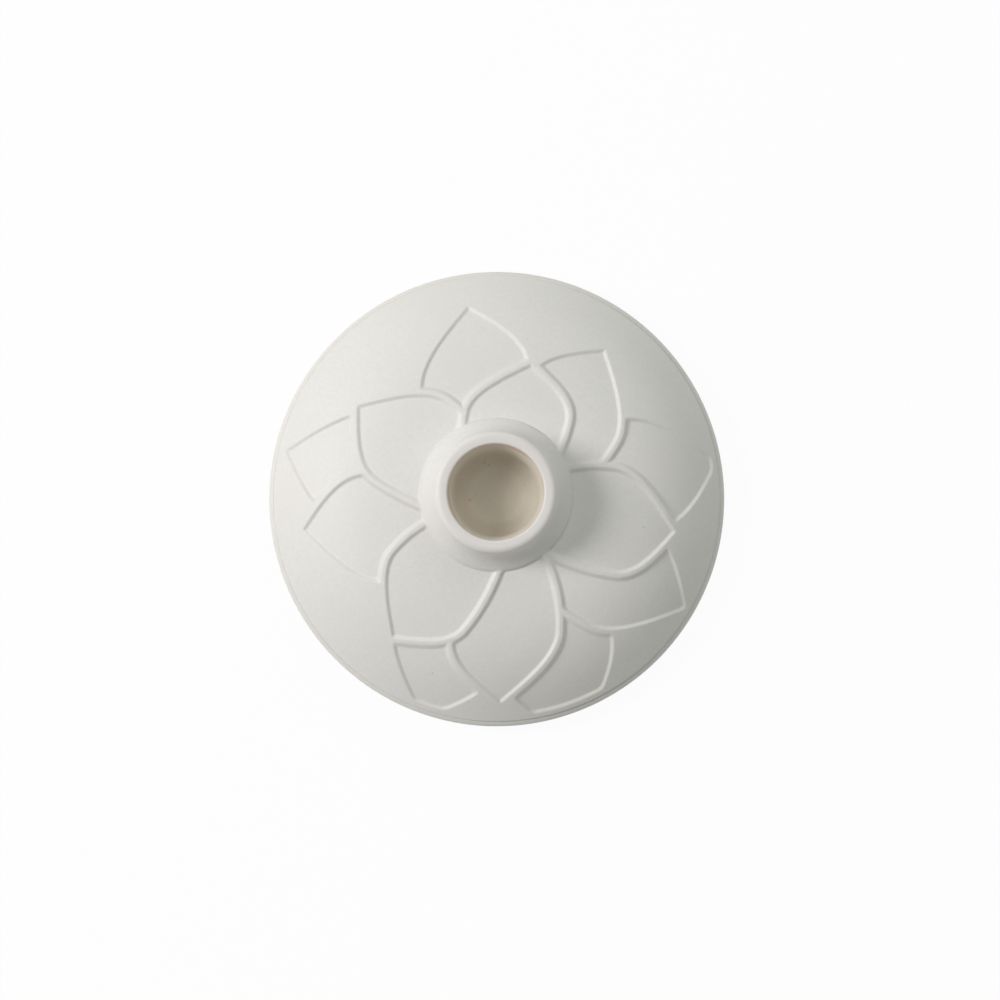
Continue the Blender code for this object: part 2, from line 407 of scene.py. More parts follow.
def flare_outline(shape, steps):
    """The collar's sweep from the neck out into the dome."""
    neck = lip_outline(shape)[-1]
    foot = (shape.flare_radius, crown(shape, shape.flare_radius))
    pull_in = shape.foot_pull * math.cos(shape.foot_lean)
    pull_up = shape.foot_pull * math.sin(shape.foot_lean)
    neck_handle = (neck[0], neck[1] - shape.neck_pull)
    foot_handle = (foot[0] - pull_in, foot[1] + pull_up)
    return sweep(neck, neck_handle, foot_handle, foot, steps)


def flare_height(shape, radius):
    """Height of the collar's sweep at a radius."""
    radii, heights = np.array(flare_outline(shape, FLARE_SAMPLES)).T
    return np.interp(radius, radii, heights)


# The leaf relief, worked out in plan

def leaf_distance(relief, index, x, y):
    """Signed distance from points to a leaf's outline, negative inside it."""
    grown = index / (relief.count - 1)
    reach = relief.short_length + (relief.long_length - relief.short_length) * grown ** relief.growth
    half = relief.narrow + (relief.wide - relief.narrow) * grown
    turn = relief.first_turn + index * GOLDEN_ANGLE
    bend = relief.bend if index % 2 else -relief.bend

    along = (x - relief.centre[0]) * math.cos(turn) + (y - relief.centre[1]) * math.sin(turn)
    across = (y - relief.centre[1]) * math.cos(turn) - (x - relief.centre[0]) * math.sin(turn)
    t = along / reach
    spine = bend * reach * t * t
    spine_slope = 2 * bend * t

    # The tip half runs on straight past its point, and the stalk half is a parabola
    past_widest = (t - relief.widest) / (1 - relief.widest)
    u = np.clip(past_widest, 0, 1)
    draw = relief.tip_draw
    tip_width = (1 - u * u) * (1 - draw * u * u) - 2 * (1 - draw) * np.maximum(past_widest - 1, 0)
    tip_slope = -2 * u * (1 - draw * u * u) - 2 * draw * u * (1 - u * u)
    v = np.maximum((relief.widest - t) / relief.widest, 0)
    stalk_width = 1 - (1 - relief.stalk) * v * v
    stalk_slope = 2 * (1 - relief.stalk) * v
    on_tip = t > relief.widest
    width = half * np.where(on_tip, tip_width, stalk_width)
    slope = half / reach * np.where(on_tip, tip_slope / (1 - relief.widest), stalk_slope / relief.widest)

    above = (across - spine - width) / np.hypot(1, spine_slope + slope)
    below = (spine - width - across) / np.hypot(1, spine_slope - slope)
    return np.maximum(above, below)


def smooth_max(a, b, radius):
    """The larger of two distances, with the corner between them rounded."""
    blend = np.clip(0.5 + 0.5 * (a - b) / radius, 0, 1)
    return b + (a - b) * blend + radius * blend * (1 - blend)


def panel_distance(relief, x, y):
    """Signed distance to the nearest sunk panel's outline, negative inside a panel."""
    radius = np.hypot(x, y)
    collar = (relief.collar_foot - radius) * relief.wall / relief.collar_wall
    border = smooth_max(collar, radius - (DOME_RADIUS - relief.margin), relief.corner)
    panels = np.full(x.shape, DOME_RADIUS)
    covered = np.full(x.shape, DOME_RADIUS)
    for index in range(relief.count):
        leaf = leaf_distance(relief, index, x, y)
        shown = smooth_max(leaf, relief.rib - covered, relief.corner)
        panels = np.minimum(panels, smooth_max(shown, border, relief.corner))
        covered = np.minimum(covered, leaf)
    return panels


def relief_height(shape, relief, x, y):
    """Height of the carved outside of the dome and its collar's foot."""
    radius = np.hypot(x, y)
    ground = crown(shape, radius)
    plain = np.where(radius < shape.flare_radius, flare_height(shape, radius), ground)
    t = np.clip(-panel_distance(relief, x, y) / relief.wall, 0, 1)
    return plain + (ground - relief.depth - plain) * t * t * (3 - 2 * t)


def contour_loops(values, level, low, step):
    """Closed lines at a level of a square grid of values, found triangle by triangle."""
    count = values.shape[0]
    numbers = np.arange(count * count).reshape(count, count)
    a, b, c, d = numbers[:-1, :-1], numbers[:-1, 1:], numbers[1:, 1:], numbers[1:, :-1]
    halves = ((a, b, c), (a, c, d))
    triangles = np.concatenate([np.stack([p.ravel(), q.ravel(), r.ravel()], 1) for p, q, r in halves])
    flat = values.ravel()
    inside = flat[triangles] < level
    total = inside.sum(1)
    crossed = (total == 1) | (total == 2)
    triangles, inside, total = triangles[crossed], inside[crossed], total[crossed]
    odd_one = np.argmax(inside == (total == 1)[:, None], axis=1)

    neighbours = {}
    for corners, odd in zip(triangles.tolist(), odd_one.tolist()):
        apex = corners[odd]
        ends = [tuple(sorted((apex, corners[(odd + k) % 3]))) for k in (1, 2)]
        neighbours.setdefault(ends[0], []).append(ends[1])
        neighbours.setdefault(ends[1], []).append(ends[0])

    def crossing(edge):
        first, second = edge
        t = (level - flat[first]) / (flat[second] - flat[first])
        row = (1 - t) * (first // count) + t * (second // count)
        column = (1 - t) * (first % count) + t * (second % count)
        return low + step * column, low + step * row

    loops = []
    left = dict.fromkeys(neighbours)
    while left:
        start = next(iter(left))
        loop = []
        edge = start
        while edge in left:
            del left[edge]
            loop.append(crossing(edge))
            edge = next((n for n in neighbours[edge] if n in left), start)
        loops.append(np.array(loop))
    return loops


def respaced(loop, step):
    """The same closed line with evenly spaced points."""
    ring = np.vstack([loop, loop[:1]])
    run = np.concatenate([[0], np.cumsum(np.hypot(*np.diff(ring, axis=0).T))])
    count = max(FEWEST_POINTS, round(run[-1] / step))
    marks = np.arange(count) * run[-1] / count
    return np.stack([np.interp(marks, run, ring[:, k]) for k in range(2)], 1)


def circle(radius):
    """Points of a circle in plan."""
    turns = 2 * math.pi * np.arange(SIDES) / SIDES
    return np.stack([radius * np.cos(turns), radius * np.sin(turns)], 1)


def slope_lines(relief, levels, reach):
    """Evenly spaced lines along every slope, one for each level of the distance."""
    axis = np.arange(-reach, reach, GRID_STEP)
    grid = panel_distance(relief, *np.meshgrid(axis, axis))
    lines = []
    for level in levels:
        for loop in contour_loops(grid, level, axis[0], GRID_STEP):
            line = respaced(loop, LINE_STEP)
            if len(line) > FEWEST_POINTS:
                lines.append(line)
    return lines


def ground_points(relief, levels, inner, outer):
    """Evenly scattered points between two radii that keep clear of the slopes."""
    count = round(math.pi * (outer ** 2 - inner ** 2) / FILL_STEP ** 2)
    number = np.arange(count)
    radius = np.sqrt(inner ** 2 + (outer ** 2 - inner ** 2) * (number + 0.5) / count)
    points = np.stack([radius * np.cos(number * GOLDEN_ANGLE), radius * np.sin(number * GOLDEN_ANGLE)], 1)
    distance = panel_distance(relief, points[:, 0], points[:, 1])
    clear = FILL_STEP / 2
    kept = (distance > levels[0] + clear) | (distance < levels[-1] - clear)
    kept &= (radius > inner + clear) & (radius < outer - clear)
    return points[kept]


def relief_patch(mesh, shape, relief, inner, outer):
    """The carved part of the dome between two radii: lines along every slope, even points between them."""
    levels = [-relief.wall * line for line in SLOPE_LINES]
    lines = [circle(inner), circle(outer)] + slope_lines(relief, levels, outer + GRID_STEP)
    points = np.vstack(lines + [ground_points(relief, levels, inner, outer)]) / MILLIMETRE
    edges = []
    start = 0
    for line in lines:
        count = len(line)
        edges += [(start + i, start + (i + 1) % count) for i in range(count)]
        start += count
    flat, _, faces, *_ = delaunay_2d_cdt([Vector(p) for p in points], edges, [], 0, PLAN_WELD_MM, False)

    plan = np.array([tuple(p) for p in flat]) * MILLIMETRE
    height = relief_height(shape, relief, plan[:, 0], plan[:, 1])
    on_hole = np.hypot(plan[:, 0], plan[:, 1]) < inner + WELD
    verts = [mesh.verts.new((x, y, z)) for (x, y), z in zip(plan, height)]
    # Painted shade on the slopes, strongest at a slope's middle
    painted_shade = mesh.verts.layers.float[PAINTED_SHADE_LAYER]
    off_slope = panel_distance(relief, plan[:, 0], plan[:, 1]) + relief.wall / 2
    for vert, depth in zip(verts, np.exp(-(off_slope / relief.painted_shade) ** 2)):
        vert[painted_shade] = depth
    for face in faces:
        if not on_hole[list(face)].all():
            mesh.faces.new([verts[i] for i in face])


# Meshes

def turned(mesh, outline, sides=SIDES):
    """Adds the surface that an outline sweeps round the axis."""
    turns = [2 * math.pi * i / sides for i in range(sides)]
    rings = [[mesh.verts.new((r * math.cos(a), r * math.sin(a), z)) for a in turns] for r, z in outline]
    for upper, lower in zip(rings, rings[1:]):
        for i in range(sides):
            j = (i + 1) % sides
            mesh.faces.new((upper[i], lower[i], lower[j], upper[j]))


def closed_piece(name, mesh):
    """Welds the parts of a closed mesh, points its faces outwards and makes it an object."""
    bmesh.ops.remove_doubles(mesh, verts=mesh.verts, dist=WELD)
    bmesh.ops.recalc_face_normals(mesh, faces=mesh.faces)
    if any(not edge.is_manifold for edge in mesh.edges):
        raise RuntimeError(f"{name} isn't closed")
    data = bpy.data.meshes.new(name)
    mesh.to_mesh(data)
    mesh.free()
    data.shade_smooth()
    data.set_sharp_from_angle(angle=SHARP_EDGE)
    piece = bpy.data.objects.new(name, data)
    bpy.context.scene.collection.objects.link(piece)
    return piece


def dress(piece, node, material):
    """Gives a piece its finish and lets it stand for its node."""
    piece.data.materials.clear()
    piece.data.materials.append(material)
    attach(piece, BODY)
    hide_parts(node)


def make_dome(shape, relief):
    """The hollow shell with its collar, carved on the outside."""
    mesh = bmesh.new()
    mesh.verts.layers.float.new(PAINTED_SHADE_LAYER)

    bore_foot = CUP_TOP + shape.joint_gap
    bore = straight((bore_radius(shape, bore_foot), bore_foot), lip_outline(shape)[0], steps=10)
    collar_end = relief.collar_foot - relief.wall / 2
    collar = bore[:-1] + lip_outline(shape)
    collar += [point for point in flare_outline(shape, FLARE_STEPS)[1:] if point[0] < collar_end - WELD]
    collar.append((collar_end, float(flare_height(shape, collar_end))))
    turned(mesh, collar)

    # The lower edge is rounded between the dome's slope and the flat seat
    rounding = shape.edge_round
    lean = math.atan2(crown(shape, DOME_RADIUS - rounding) - DOME_EDGE, rounding)
    edge_centre = (DOME_RADIUS - rounding / math.tan(lean / 2), DOME_EDGE + rounding)
    edge = arc(edge_centre, rounding, rounding, 90 - math.degrees(lean), -90, steps=10)[1:]
    crown_end = edge_centre[0] + rounding * math.sin(lean)
    relief_patch(mesh, shape, relief, collar_end, crown_end)
    seat_inner = DOME_RADIUS - shape.dome_seat
    cup_hole = CUP_RADIUS + shape.joint_gap
    inside = [(r, hollow(shape, r)) for r, _ in straight((seat_inner, 0), (cup_hole, 0), steps=16)]
    under = [(crown_end, crown(shape, crown_end))] + edge + inside + [(cup_hole, bore_foot), bore[0]]
    turned(mesh, under)
    return closed_piece("porcelain_dome", mesh)


def make_candle_cup(shape):
    """The cup that hangs in the collar, with a rounded corner round its floor."""
    floor = CUP_BOTTOM + shape.cup_floor
    fillet_top = floor + shape.cup_fillet
    fillet_centre = (bore_radius(shape, fillet_top) - shape.cup_fillet, fillet_top)
    fillet = arc(fillet_centre, shape.cup_fillet, shape.cup_fillet, -90, 0, steps=14)
    top = CUP_TOP + shape.joint_gap - shape.cup_joint
    wall = straight(fillet[-1], (bore_radius(shape, top), top), steps=12)
    outside = [(CUP_RADIUS, top), (CUP_RADIUS, CUP_BOTTOM + shape.cup_chamfer),
               (CUP_RADIUS - shape.cup_chamfer, CUP_BOTTOM), (0, CUP_BOTTOM)]
    mesh = bmesh.new()
    turned(mesh, straight((0, floor), fillet[0], steps=8)[:-1] + fillet + wall[1:] + outside)
    return closed_piece("socket_cup", mesh)


def cut_vent(dish, shape):
    """A small countersunk hole through the dish's floor."""
    radius = shape.vent_radius
    low = DISH_UNDERSIDE
    floor = low + shape.recess_depth
    top = low + shape.dish_floor + radius
    flared = radius + shape.vent_flare
    outline = [(0, top), (radius, top), (radius, floor + shape.vent_flare), (flared, floor), (flared, low),
               (0, low)]
    drill_mesh = bmesh.new()
    turned(drill_mesh, outline, VENT_SIDES)
    drill = closed_piece("vent_drill", drill_mesh)
    drill.location.y = shape.vent_offset
    # Half a side's turn keeps the drill's corners off the dish's own edges
    drill.rotation_euler.z = math.pi / VENT_SIDES
    cut = dish.modifiers.new("Vent", "BOOLEAN")
    cut.operation = "DIFFERENCE"
    cut.object = drill
    evaluated = dish.evaluated_get(bpy.context.evaluated_depsgraph_get())
    carved = bpy.data.meshes.new_from_object(evaluated)
    carved.set_sharp_from_angle(angle=SHARP_EDGE)
    dish.modifiers.clear()
    dish.data = carved
    bpy.data.objects.remove(drill)


def make_base_dish(shape):
    """The dish that closes the shell: spigot ring, seat, ledge, belly, foot and recess."""
    seat = DOME_EDGE - shape.joint_gap
    inside = DISH_UNDERSIDE + shape.dish_floor
    hollow_edge = DOME_RADIUS - shape.dome_seat
    gap = shape.joint_gap
    face = [(r - gap, hollow(shape, r) - gap) for r in (hollow_edge - shape.spigot_reach, hollow_edge)]
    inner_wall = face[0][0] - shape.spigot_width
    outline = [(0, inside), (inner_wall, inside), (inner_wall, face[0][1])] + face

    widest = seat - shape.ledge_drop
    foot = DISH_RADIUS - shape.undercut
    oval_out = (DISH_RADIUS - DOME_RADIUS) / (1 - math.cos(shape.ledge_lean))
    oval_up = shape.ledge_drop / math.sin(shape.ledge_lean)
    oval_centre = (DISH_RADIUS - oval_out, widest)
    ledge = arc(oval_centre, oval_out, oval_up, math.degrees(shape.ledge_lean), 0, steps=16)
    belly = sweep(ledge[-1], (DISH_RADIUS, (widest + DISH_UNDERSIDE) / 2),
                  ((DISH_RADIUS + foot) / 2, DISH_UNDERSIDE), (foot, DISH_UNDERSIDE), steps=24)
    recess_top = DISH_UNDERSIDE + shape.recess_depth
    outline += ledge + belly[1:]
    recess_inner = shape.recess_radius - shape.recess_draft
    outline += [(shape.recess_radius, DISH_UNDERSIDE), (recess_inner, recess_top), (0, recess_top)]
    mesh = bmesh.new()
    turned(mesh, outline)
    dish = closed_piece("porcelain_base", mesh)
    cut_vent(dish, shape)
    return dish


def make_felt_pad(shape, node):
    """A punched disc of felt with a fuzzy edge, glued under the dish."""
    low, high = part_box(node)
    middle = (low + high) / 2
    radius = (high.x - low.x) / 2
    top = DISH_UNDERSIDE - WELD - low.z
    rounding = shape.pad_round
    mesh = bmesh.new()
    flat = radius - rounding
    upper = straight((0, top), (flat, top), steps=6)
    edge = arc((flat, top - rounding), rounding, rounding, 90, 0, steps=4)
    edge += arc((flat, rounding), rounding, rounding, 0, -90, steps=4)
    lower = straight((flat, 0), (0, 0), steps=10)
    turned(mesh, upper[:-1] + edge + lower[1:], PAD_SIDES)
    bmesh.ops.remove_doubles(mesh, verts=mesh.verts, dist=WELD)
    for vert in mesh.verts:
        out = vert.co.xy.length / radius
        fuzz = 0.5 + 0.5 * noise.noise((vert.co + middle) * FUZZ_SCALE)
        pulled = 1 - FUZZ_PULL * fuzz * max(0, 2 * out - 1)
        vert.co.x *= pulled
        vert.co.y *= pulled
        if vert.co.z < rounding:
            vert.co.z += FUZZ_LIFT * fuzz
    bmesh.ops.translate(mesh, verts=mesh.verts, vec=(middle.x, middle.y, low.z))
    return closed_piece(node.replace("felt_pad", "felt_disc"), mesh)


# Finishes

class Wire:
    """One socket of a node tree. Sums and products of wires add the Math nodes."""

    def __init__(self, tree, socket):
        self.tree = tree
        self.socket = socket

    def math(self, operation, *values):
        sockets = dict(enumerate(values))
        return add_node(self.tree, "ShaderNodeMath", {"operation": operation}, sockets)

    def __add__(self, other):
        return self.math("ADD", self, other)

    def __radd__(self, other):
        return self.math("ADD", other, self)

    def __sub__(self, other):
        return self.math("SUBTRACT", self, other)

    def __rsub__(self, other):
        return self.math("SUBTRACT", other, self)

    def __mul__(self, other):
        return self.math("MULTIPLY", self, other)

    def __rmul__(self, other):
        return self.math("MULTIPLY", other, self)


def add_node(tree, kind, settings, sockets, output=0):
    """Adds a node: its settings first, then the values or links of its sockets."""
    node = tree.nodes.new(kind)
    for name, value in settings.items():
        setattr(node, name, value)
    for key, value in sockets.items():
        if isinstance(value, Wire):
            tree.links.new(value.socket, node.inputs[key])
        else:
            node.inputs[key].default_value = value
    return Wire(tree, node.outputs[output])


def opaque(rgb):
    return (*rgb, 1)


def mixed(tree, factor, first, second):
    """A colour between two, by a factor."""
    sockets = {MIX_FACTOR: factor, MIX_FIRST: first, MIX_SECOND: second}
    return add_node(tree, "ShaderNodeMix", {"data_type": "RGBA"}, sockets, MIX_RESULT)


def ramped(tree, value, low, high):
    """0 below low and 1 above high, smooth in between; with low above high it falls instead."""
    return add_node(tree, "ShaderNodeMapRange", {"interpolation_type": "SMOOTHSTEP"},
                    {"Value": value, "From Min": low, "From Max": high})


def clouds(tree, place, scale, detail=3):
    """Soft noise between 0 and 1."""
    return add_node(tree, "ShaderNodeTexNoise", {}, {"Vector": place, "Scale": scale, "Detail": detail})


def flecks(tree, place, scale, radius):
    """1 inside small scattered spots, 0 elsewhere."""
    distance = add_node(tree, "ShaderNodeTexVoronoi", {"feature": "F1"}, {"Vector": place, "Scale": scale})
    return ramped(tree, distance, radius * scale, radius * scale * FLECK_CORE)


def wobble(tree, place, scale, reach):
    """Noise about zero, to half of its reach either way."""
    return (clouds(tree, place, scale) - 0.5) * reach


def height_of(tree, place):
    return add_node(tree, "ShaderNodeSeparateXYZ", {}, {0: place}, "Z")


def in_plan(tree, place):
    """A place without its height."""
    return add_node(tree, "ShaderNodeVectorMath", {"operation": "MULTIPLY"}, {0: place, 1: (1, 1, 0)})


def off_axis(tree, place):
    """How far a point lies from the turning axis."""
    flat = in_plan(tree, place)
    return add_node(tree, "ShaderNodeVectorMath", {"operation": "LENGTH"}, {0: flat}, "Value")


def speck(tree, place, centre):
    """1 inside one small spot with a soft, ragged edge, seen from above."""
    distance = add_node(tree, "ShaderNodeVectorMath", {"operation": "DISTANCE"},
                        {0: in_plan(tree, place), 1: (*centre, 0)}, "Value")
    return ramped(tree, distance + wobble(tree, place, WASH_MOTTLE_SCALE, SPECK_RAGGED), *SPECK_EDGE)


def new_finish(name):
    """A new material with its node tree, its shader and the place on the piece."""
    material = bpy.data.materials.new(name)
    material.use_nodes = True
    tree = material.node_tree
    shader = tree.nodes["Principled BSDF"]
    place = add_node(tree, "ShaderNodeTexCoord", {}, {}, "Object")
    return material, tree, shader, place


def link(tree, wire, node, socket):
    tree.links.new(wire.socket, node.inputs[socket])


def grain_normal(tree, place, scale, strength, distance):
    """A fine grain in the surface."""
    grain = clouds(tree, place, scale, detail=4)
    sockets = {"Strength": strength, "Distance": distance, "Height": grain}
    return add_node(tree, "ShaderNodeBump", {}, sockets, "Normal")


def uneven_roughness(tree, place, least, spread, scale):
    """A roughness that varies softly over the surface."""
    return least + spread * clouds(tree, place, scale)


def scaled(rgb, factor):
    """A colour made lighter or darker by a factor."""
    return opaque([min(1, c * factor) for c in rgb])


def lining_colour(tree, place, shape, colours):
    """Beige wash, paler towards the mouth where it runs thin and with painted glow of light through the thin
    lip, with painted shade round the floor, and with a few specks.
    """
    socket_floor = CUP_BOTTOM + shape.cup_floor
    over_floor = height_of(tree, place) - socket_floor
    thin = ramped(tree, over_floor, THIN_WASH_START, LIP_TOP - socket_floor)
    # Painted shade in the corner round the socket's floor, from its foot up the fillet
    corner_shade = ramped(tree, over_floor, *CORNER_SHADE_FOOT) * ramped(tree, over_floor, *CORNER_SHADE_TOP)
    wash = mixed(tree, corner_shade, opaque(colours.lining), opaque(colours.corner_shade))
    # Paler towards the mouth: the wash runs thin, with painted glow of light through the thin lip
    wash = mixed(tree, thin, wash, opaque(colours.thin_lining_and_glow))
    uneven = WASH_LEAST + WASH_CLOUD_SPREAD * clouds(tree, place, WASH_CLOUD_SCALE)
    uneven += WASH_MOTTLE_SPREAD * clouds(tree, place, WASH_MOTTLE_SCALE, detail=2)
    cloudy = add_node(tree, "ShaderNodeVectorMath", {"operation": "SCALE"}, {0: wash, "Scale": uneven})
    for centre in (colours.left_speck, colours.back_speck):
        cloudy = mixed(tree, speck(tree, place, centre) * SPECK_TONE, cloudy, opaque(colours.blush))
    return mixed(tree, flecks(tree, place, *WASH_FLECKS) * FLECK_TONE, cloudy, opaque(colours.fleck))


def porcelain_colour(tree, place, colours, warmth=0):
    """Off-white body, finely mottled, with faint warm clouds and a few iron flecks."""
    mottle = clouds(tree, place, BODY_MOTTLE_SCALE, detail=2)
    dark = scaled(colours.porcelain, MOTTLE_DARK)
    cool = mixed(tree, mottle, dark, scaled(colours.porcelain, MOTTLE_LIGHT))
    warm = ramped(tree, clouds(tree, place, BODY_CLOUD_SCALE), *BODY_CLOUD_RANGE) * (1 - warmth) + warmth
    body = mixed(tree, warm * WARM_TONE, cool, opaque(colours.porcelain_warm))
    return mixed(tree, flecks(tree, place, *BODY_FLECKS) * FLECK_TONE, body, opaque(colours.fleck))


def bisque(tree, place, surface, shader):
    """Matte, with a fine grain."""
    link(tree, surface, shader, "Base Color")
    link(tree, uneven_roughness(tree, place, *BODY_ROUGHNESS), shader, "Roughness")
    link(tree, grain_normal(tree, place, *BODY_GRAIN), shader, "Normal")


def finish_dome(name, shape, colours):
    """Bisque with painted warm shade on the relief's slopes, and the socket's wash inside the mouth."""
    material, tree, shader, place = new_finish(name)
    # Painted warm shade on the relief's slopes, from the layer kept on the mesh
    slopes = add_node(tree, "ShaderNodeAttribute", {"attribute_name": PAINTED_SHADE_LAYER}, {}, "Fac")
    body = mixed(tree, slopes * PAINTED_SHADE_TONE, porcelain_colour(tree, place, colours), opaque(colours.painted_shade))
    height = height_of(tree, place)
    on_lip = ramped(tree, height, LIP_TOP - shape.lip_outer_drop, LIP_TOP)
    body = mixed(tree, on_lip * LIP_TONE, body, opaque(colours.lip))

    # The socket's wash runs up to the mouth
    edge = wobble(tree, place, WASH_EDGE_SCALE, WASH_RAGGED)
    past_mouth = off_axis(tree, place) - shape.mouth_radius + edge
    inside = ramped(tree, past_mouth, *WASH_EDGE) * ramped(tree, height - CUP_TOP, *WASH_END)
    washed = mixed(tree, inside, body, lining_colour(tree, place, shape, colours))

    # A thin reddish line just inside the mouth, partly wash and partly painted glow of light through the
    # thin lip, faint all round and stronger on two sides
    broken = ramped(tree, clouds(tree, place, FRINGE_BREAK_SCALE), *FRINGE_BREAK_RANGE)
    towards = Vector((math.cos(FRINGE_SIDE), math.sin(FRINGE_SIDE), 0)) / shape.mouth_radius
    side = add_node(tree, "ShaderNodeVectorMath", {"operation": "DOT_PRODUCT"}, {0: place, 1: towards},
                    "Value")
    strong = broken * ramped(tree, side * side, *FRINGE_SIDE_RANGE)
    line = ramped(tree, past_mouth, *FRINGE_INNER) * ramped(tree, past_mouth, *FRINGE_OUTER)
    line = inside * line * (strong * (1 - FRINGE_FAINT) + FRINGE_FAINT)
    bisque(tree, place, mixed(tree, line * FRINGE_AND_GLOW_TONE, washed, opaque(colours.fringe_and_glow)), shader)
    return material


def finish_base(name, colours):
    """A slightly warmer bisque, with painted shade in the joint under the dome."""
    material, tree, shader, place = new_finish(name)
    # Painted shade in the joint where the dome's edge overhangs the ledge
    joint = ramped(tree, off_axis(tree, place) - DOME_RADIUS, *JOINT_SHADE_EDGE)
    body = porcelain_colour(tree, place, colours, BASE_WARMTH)
    bisque(tree, place, mixed(tree, joint * JOINT_SHADE_TONE, body, opaque(colours.painted_shade)), shader)
    return material


def finish_lining(name, shape, colours):
    """The wash inside the socket, with a coarser grain than the body."""
    material, tree, shader, place = new_finish(name)
    link(tree, lining_colour(tree, place, shape, colours), shader, "Base Color")
    link(tree, uneven_roughness(tree, place, *WASH_ROUGHNESS), shader, "Roughness")
    link(tree, grain_normal(tree, place, *WASH_GRAIN), shader, "Normal")
    return material


def finish_felt(name, colours):
    """Grey felt, of fine fibres in loose tufts."""
    material, tree, shader, place = new_finish(name)
    fibres = clouds(tree, place, FELT_FIBRE_SCALE, detail=6)
    tufts = clouds(tree, place, FELT_TUFT_SCALE)
    shade = ramped(tree, fibres * FIBRE_SHARE + tufts * (1 - FIBRE_SHARE), *FELT_RANGE)
    least, spread = FELT_ROUGHNESS
    link(tree, mixed(tree, shade, opaque(colours.felt_dark), opaque(colours.felt)), shader, "Base Color")
    link(tree, least + spread * fibres, shader, "Roughness")
    link(tree, grain_normal(tree, place, *FELT_GRAIN), shader, "Normal")
    shader.inputs["Sheen Weight"].default_value = FELT_SHEEN
    shader.inputs["Sheen Roughness"].default_value = FELT_SHEEN_ROUGHNESS
    return material


def seen_directly(tree):
    """1 for rays that should meet a white background: from the camera, a reflection or a clear body."""
    rays = [add_node(tree, "ShaderNodeLightPath", {}, {}, ray)
            for ray in ("Is Camera Ray", "Is Glossy Ray", "Is Transmission Ray")]
    return add_node(tree, "ShaderNodeMath", {"operation": "ADD", "use_clamp": True},
                    {0: rays[0] + rays[1], 1: rays[2]})


def finish_floor(colours, studio):
    """A pale floor that reads as white and still keeps a soft shadow."""
    material, tree, shader, _ = new_finish("studio_floor")
    tree.nodes.remove(shader)
    matte = add_node(tree, "ShaderNodeBsdfDiffuse", {}, {"Color": opaque(colours.floor)})
    white = add_node(tree, "ShaderNodeEmission", {}, {"Color": WHITE, "Strength": 1})
    whiteness = seen_directly(tree) * studio.floor_white
    both = add_node(tree, "ShaderNodeMixShader", {}, {0: whiteness, 1: matte, 2: white})
    link(tree, both, tree.nodes["Material Output"], "Surface")
    return material


# Stage

def set_world(studio):
    """Even light all round, and plain white where the background is seen."""
    world = bpy.data.worlds.new("studio_world")
    bpy.context.scene.world = world
    world.use_nodes = True
    tree = world.node_tree
    background = tree.nodes["Background"]
    direct = seen_directly(tree)
    tint = mixed(tree, direct, opaque(studio.round_tint), WHITE)
    strength = studio.round_light + direct * (1 - studio.round_light)
    link(tree, tint, background, "Color")
    link(tree, strength, background, "Strength")


def set_floor(colours, studio):
    """A wide round floor at the level of the table."""
    mesh = bmesh.new()
    bmesh.ops.create_circle(mesh, cap_ends=True, segments=FLOOR_SIDES, radius=FLOOR_RADIUS)
    data = bpy.data.meshes.new("studio_floor")
    mesh.to_mesh(data)
    mesh.free()
    data.materials.append(finish_floor(colours, studio))
    floor = bpy.data.objects.new("studio_floor", data)
    bpy.context.scene.collection.objects.link(floor)


def set_lamp(name, direction, height, distance, size, watts, tint):
    """A round lamp that faces the object."""
    lamp = bpy.data.lights.new(name, "AREA")
    lamp.shape = "DISK"
    lamp.size = size
    lamp.energy = watts
    lamp.color = tint
    light = bpy.data.objects.new(name, lamp)
    bpy.context.scene.collection.objects.link(light)
    reach = distance * math.cos(height)
    place = Vector((reach * math.cos(direction), reach * math.sin(direction), distance * math.sin(height)))
    light.location = place
    light.rotation_euler = (-place).to_track_quat("-Z", "Y").to_euler()


def set_lamps(studio):
    set_lamp("key_light", studio.key_direction, studio.key_height, studio.lamp_distance, studio.key_size,
             studio.key_power, studio.key_tint)
    set_lamp("fill_light", studio.fill_direction, studio.fill_height, studio.lamp_distance, studio.fill_size,
             studio.fill_power, studio.round_tint)


def set_camera(studio):
    """A camera over the object that leans a little off the vertical."""
    data = bpy.data.cameras.new("photo_camera")
    data.lens = studio.lens
    camera = bpy.data.objects.new("photo_camera", data)
    bpy.context.scene.collection.objects.link(camera)
    lean = Euler((studio.tilt_forward, studio.tilt_side, 0))
    camera.rotation_euler = lean
    camera.location = Vector(studio.aim) + lean.to_matrix() @ Vector((0, 0, studio.camera_distance))
    bpy.context.scene.camera = camera


# Operators and panel

class CANDLESTICK_OT_dome(bpy.types.Operator):
    """Make the domed shell with its collar and leaf relief"""

    bl_idname = "candlestick.dome"
    bl_label = "Make Dome"

    def execute(self, context):
        scene = context.scene
        piece = make_dome(scene.candlestick_shape, scene.candlestick_relief)
        finish = finish_dome("bisque_dome", scene.candlestick_shape, scene.candlestick_finish)
        dress(piece, "dome", finish)
        return {"FINISHED"}


class CANDLESTICK_OT_candle_cup(bpy.types.Operator):
    """Make the cup that lines the candle socket"""

    bl_idname = "candlestick.candle_cup"
    bl_label = "Make Candle Cup"

    def execute(self, context):
        scene = context.scene
        piece = make_candle_cup(scene.candlestick_shape)
        finish = finish_lining("socket_wash", scene.candlestick_shape, scene.candlestick_finish)
        dress(piece, "candle_cup", finish)
        return {"FINISHED"}


